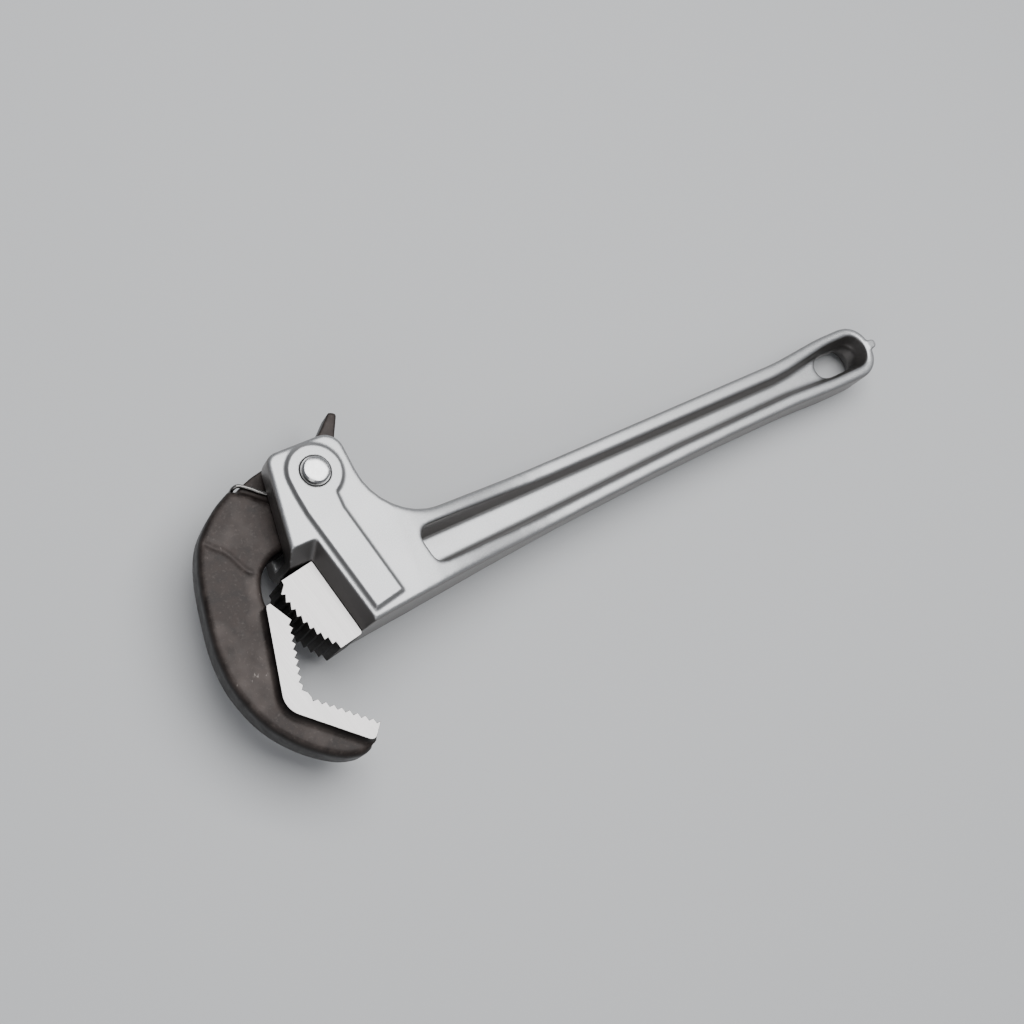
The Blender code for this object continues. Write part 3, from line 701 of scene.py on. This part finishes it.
def spring_points():
    """The middle of the front half's wire, from its leg's tip to the middle of the bridge."""
    leg_angle = tangent_angle(SPRING_LEG_FOOT, -1)
    arm_angle = tangent_angle(SPRING_ARM_BEND, 1)
    sweep = 360 * (COIL_TURNS - 1) + (leg_angle - arm_angle) % 360
    steps = round(sweep / COIL_STEP)
    points = [Vector((*SPRING_LEG_FOOT, LEG_HEIGHT))]
    for i in range(steps + 1):
        t = i / steps
        x, y = turned(COIL_RADIUS, 0, leg_angle - sweep * t)
        points.append(Vector((x, y, LEG_HEIGHT + (ARM_HEIGHT - LEG_HEIGHT) * t)))
    bends = [Vector((*SPRING_ARM_BEND, ARM_HEIGHT))]
    bends += [Vector((x, y, ARM_HEIGHT)) for x, y in SPRING_SHOULDER]
    bends += [Vector((*SPRING_BRIDGE, ARM_HEIGHT * share)) for share in BRIDGE_SHARES]
    path = [points[-1]] + bends
    for i in range(1, len(path) - 1):
        a, b, c = path[i - 1], path[i], path[i + 1]
        d = path[min(i + 2, len(path) - 1)]
        for k in range(BEND_STEPS):
            t = k / BEND_STEPS
            curved = (2 * a - 5 * b + 4 * c - d) * t**2 + (3 * b - a - 3 * c + d) * t**3
            points.append(0.5 * (2 * b + (c - a) * t + curved))
    points.append(path[-1])
    return points


def make_spring(material):
    half = spring_points()
    for side, name in ((1, "front"), (-1, "rear")):
        curve = bpy.data.curves.new(f"hook_spring_{name}", "CURVE")
        curve.dimensions = "3D"
        curve.bevel_depth = WIRE_RADIUS
        curve.bevel_resolution = WIRE_ROUNDNESS
        curve.use_fill_caps = True
        spline = curve.splines.new("POLY")
        spline.points.add(len(half) - 1)
        for target, point in zip(spline.points, half):
            target.co = (point.x, point.y, MID + side * point.z, 1)
        helper = new_object(f"hook_spring_{name}_path", curve)
        mesh = evaluated_mesh(helper)
        bpy.data.objects.remove(helper)
        wire = new_object(f"hook_spring_{name}", mesh)
        mesh.shade_smooth()
        mesh.set_sharp_from_angle(angle=radians(WIRE_SHARP))
        paint(wire, material)
        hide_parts("hook_spring")
        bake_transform(wire)


# Studio


def make_floor():
    """The wrench lies on this with the pin's rear end and the end of its handle."""
    handle_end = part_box("handle_casting")[1].x
    lean = atan2(MID - HANDLE_HALF, handle_end)
    bm = bmesh.new()
    corners = [(-1, -1), (1, -1), (1, 1), (-1, 1)]
    verts = []
    for i, j in corners:
        x, y = i * FLOOR_HALF, j * FLOOR_HALF
        verts.append(bm.verts.new((x * cos(lean), y, x * sin(lean) - FLOOR_GAP)))
    bm.faces.new(verts)
    floor = from_bmesh(bm, "studio_floor")
    s = Surface("studio_floor", 0.6, 0.0)
    s.colour(s.mixed(s.noise(3, 2), (0.70, 0.71, 0.72), (0.74, 0.75, 0.76)))
    s.bump(s.noise(900, 2), 0.02 * MM, 0.2)
    paint(floor, s.material)


def area_light(name, place, target, size, power):
    light = bpy.data.lights.new(name, "AREA")
    light.shape = "RECTANGLE"
    light.size, light.size_y = size
    light.energy = power
    obj = bpy.data.objects.new(name, light)
    bpy.context.scene.collection.objects.link(obj)
    obj.location = place
    obj.rotation_euler = (Vector(target) - Vector(place)).to_track_quat("-Z", "Y").to_euler()


def make_studio():
    world = bpy.data.worlds.new("studio")
    bpy.context.scene.world = world
    world.use_nodes = True
    background = world.node_tree.nodes["Background"]
    background.inputs["Color"].default_value = WORLD_COLOUR
    background.inputs["Strength"].default_value = WORLD_STRENGTH
    for light in LIGHTS:
        area_light(*light)

    camera = bpy.data.cameras.new("camera")
    camera.lens = LENS
    camera.clip_start = CAMERA_NEAR
    obj = bpy.data.objects.new("camera", camera)
    bpy.context.scene.collection.objects.link(obj)
    obj.location = CAMERA_PLACE
    obj.rotation_euler = Euler([radians(a) for a in CAMERA_TURN], "XYZ")
    bpy.context.scene.camera = obj


aluminium = cast_aluminium()
black = forged_steel()
heel_ground = ground_steel("ground_steel_heel", 80, (0.72, 0.70, 0.69))
land_ground = ground_steel("ground_steel_land", 80, (0.72, 0.70, 0.69))
flank_steel = tooth_steel()
# The last number of each bright steel is the share of its tint kept on tilted faces as painted
# shade.
pin_steel = bright_steel("bright_steel_pin", 0.22, (0.86, 0.86, 0.86), 0.12)
ring_steel = bright_steel("bright_steel_ring", 0.3, (0.42, 0.42, 0.42), 0.3)
sleeve_steel = bright_steel("bright_steel_sleeve", 0.3, (0.6, 0.6, 0.6), 0.6)
wire_steel = bright_steel("spring_wire_steel", 0.3, (0.30, 0.29, 0.28), 0.15)

make_casting(aluminium)
make_hook(black, land_ground, flank_steel)
make_heel(heel_ground, flank_steel)
make_pin(pin_steel)
make_rings(ring_steel)
make_spring(wire_steel)
for node in PLAIN_NODES:
    paint(NODES[node], sleeve_steel)
make_floor()
make_studio()
